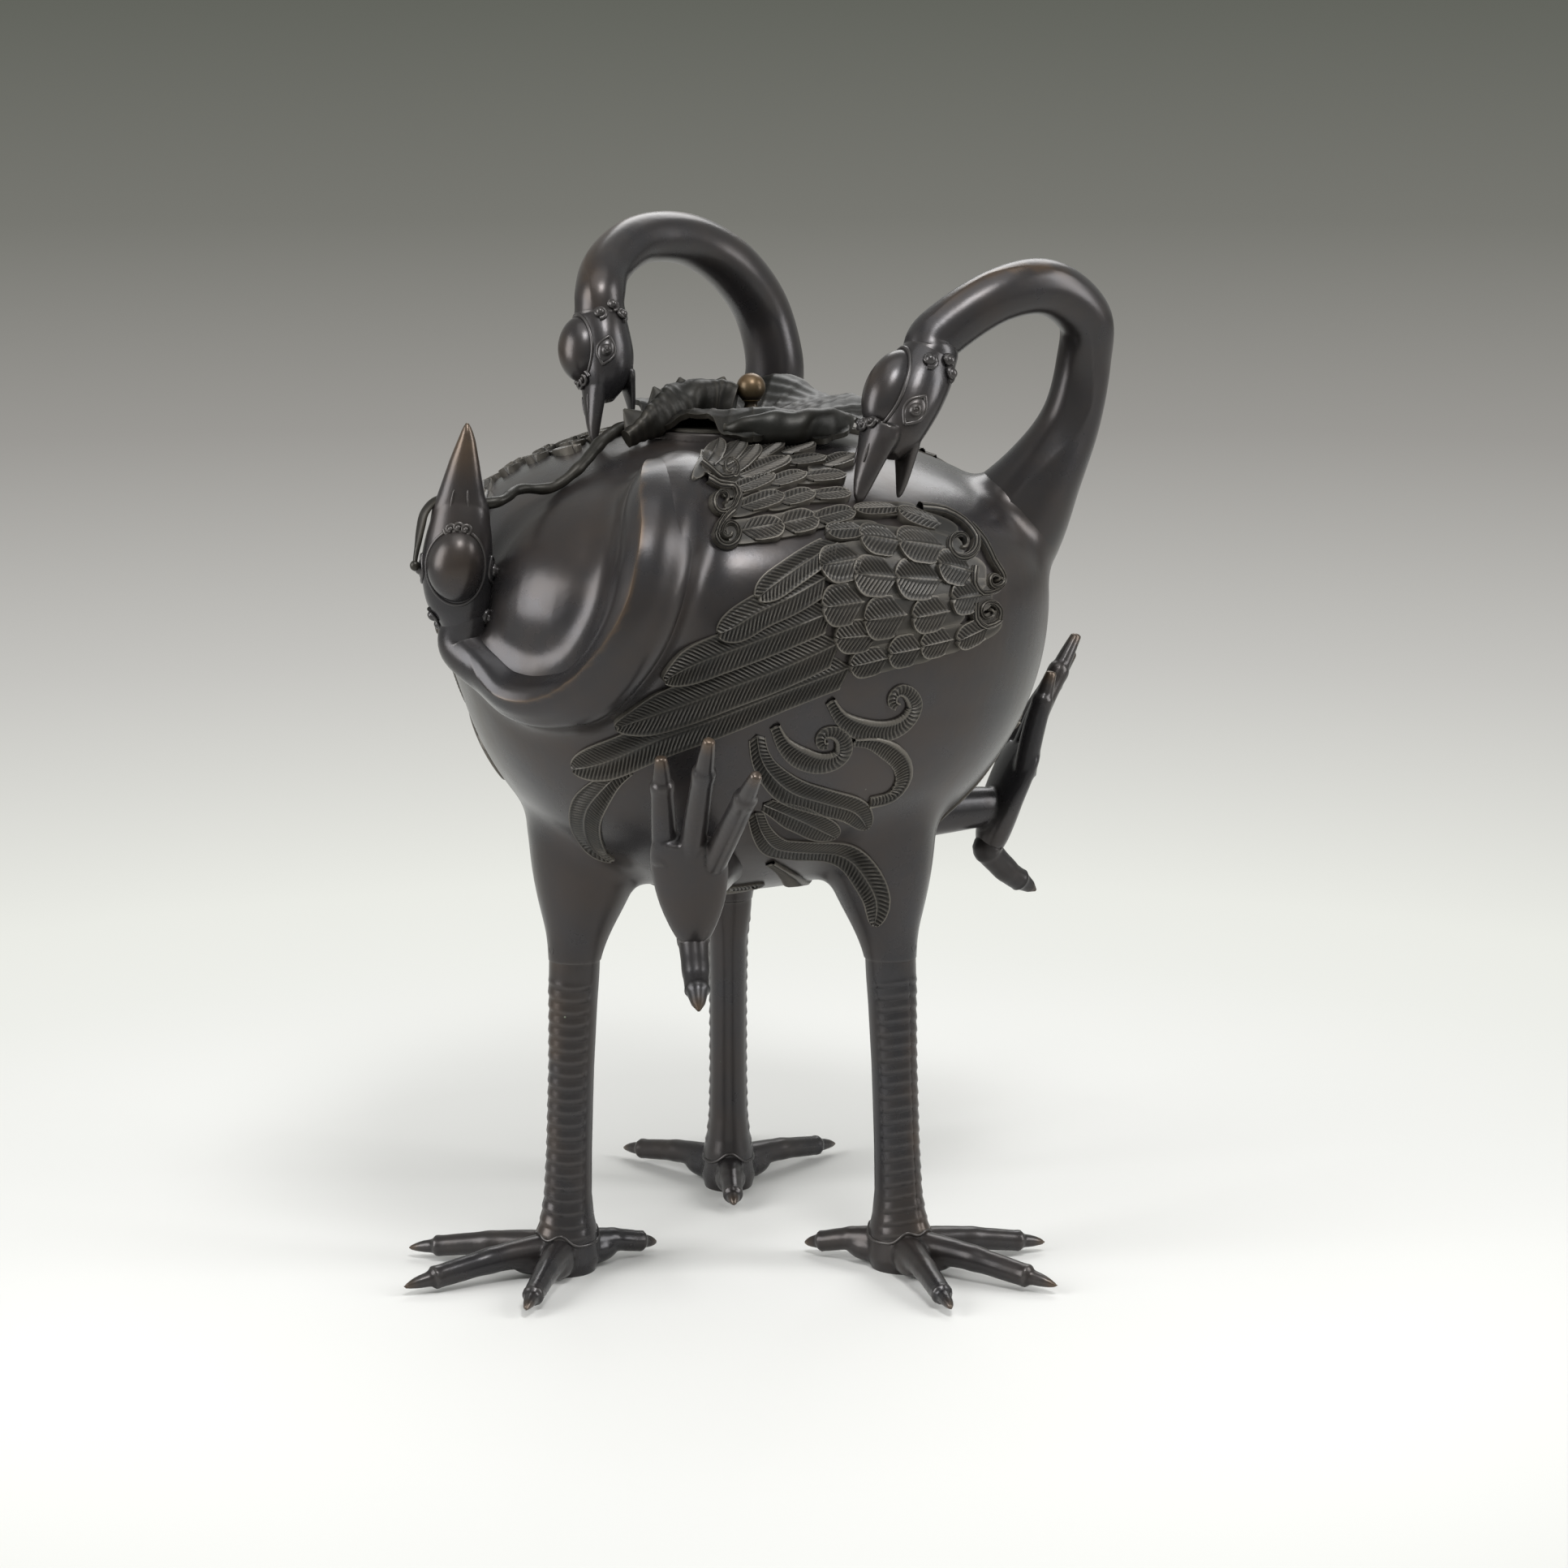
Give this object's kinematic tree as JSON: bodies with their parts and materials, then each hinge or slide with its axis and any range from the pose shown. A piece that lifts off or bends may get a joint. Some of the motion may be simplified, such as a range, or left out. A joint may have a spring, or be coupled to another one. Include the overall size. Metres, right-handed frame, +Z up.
{
  "type": "tripod incense burner",
  "caption": "Bronze tripod incense burner: three cranes back to back round one bowl, each on one leg with the other foot raised, under a lift-off lotus leaf lid.",
  "frame": {"origin": "middle of the object's box on the surface that it stands on", "axes": "+Z up, +X to the viewer's right, -Y towards the viewer of the picture; the bowl's axis is vertical at x -10.9 mm, y 15.4 mm"},
  "size_m": [0.3356, 0.3846, 0.4959],
  "materials": {
    "patinated_bronze": "dark brown patina, waxed satin",
    "chased_bronze": "dark patina, matt chased feathers",
    "leaf_bronze": "dark patina, satin cast leaf",
    "rubbed_bronze": "golden brown, patina rubbed through by handling"
  },
  "bodies": {
    "burner": {"vessel": "patinated_bronze", "lotus_stem": "leaf_bronze", "front_neck": "patinated_bronze", "front_head": "patinated_bronze", "front_leg": "patinated_bronze", "front_foot": "patinated_bronze", "front_raised_foot": "patinated_bronze", "front_hind_toe": "patinated_bronze", "front_left_wing": "chased_bronze", "front_right_wing": "chased_bronze", "front_neck_pin": "rubbed_bronze", "front_leg_pin": "patinated_bronze", "front_raised_pin": "patinated_bronze", "right_neck": "patinated_bronze", "right_head": "patinated_bronze", "right_leg": "patinated_bronze", "right_foot": "patinated_bronze", "right_raised_foot": "patinated_bronze", "right_hind_toe": "patinated_bronze", "right_left_wing": "chased_bronze", "right_right_wing": "chased_bronze", "right_neck_pin": "rubbed_bronze", "right_leg_pin": "patinated_bronze", "right_raised_pin": "patinated_bronze", "rear_neck": "patinated_bronze", "rear_head": "patinated_bronze", "rear_leg": "patinated_bronze", "rear_foot": "patinated_bronze", "rear_raised_foot": "patinated_bronze", "rear_hind_toe": "patinated_bronze", "rear_left_wing": "chased_bronze", "rear_right_wing": "chased_bronze", "rear_neck_pin": "rubbed_bronze", "rear_leg_pin": "patinated_bronze", "rear_raised_pin": "patinated_bronze"},
    "lid": {"lid_leaf": "leaf_bronze", "lid_flange": "leaf_bronze", "lid_knob": "rubbed_bronze", "lid_rivet": "rubbed_bronze"}
  },
  "joints": [
    {"name": "lid_lift", "type": "slide", "parent": "burner", "child": "lid", "axis": [0, 0, 1], "range_m": [0, 0.06]}
  ]
}
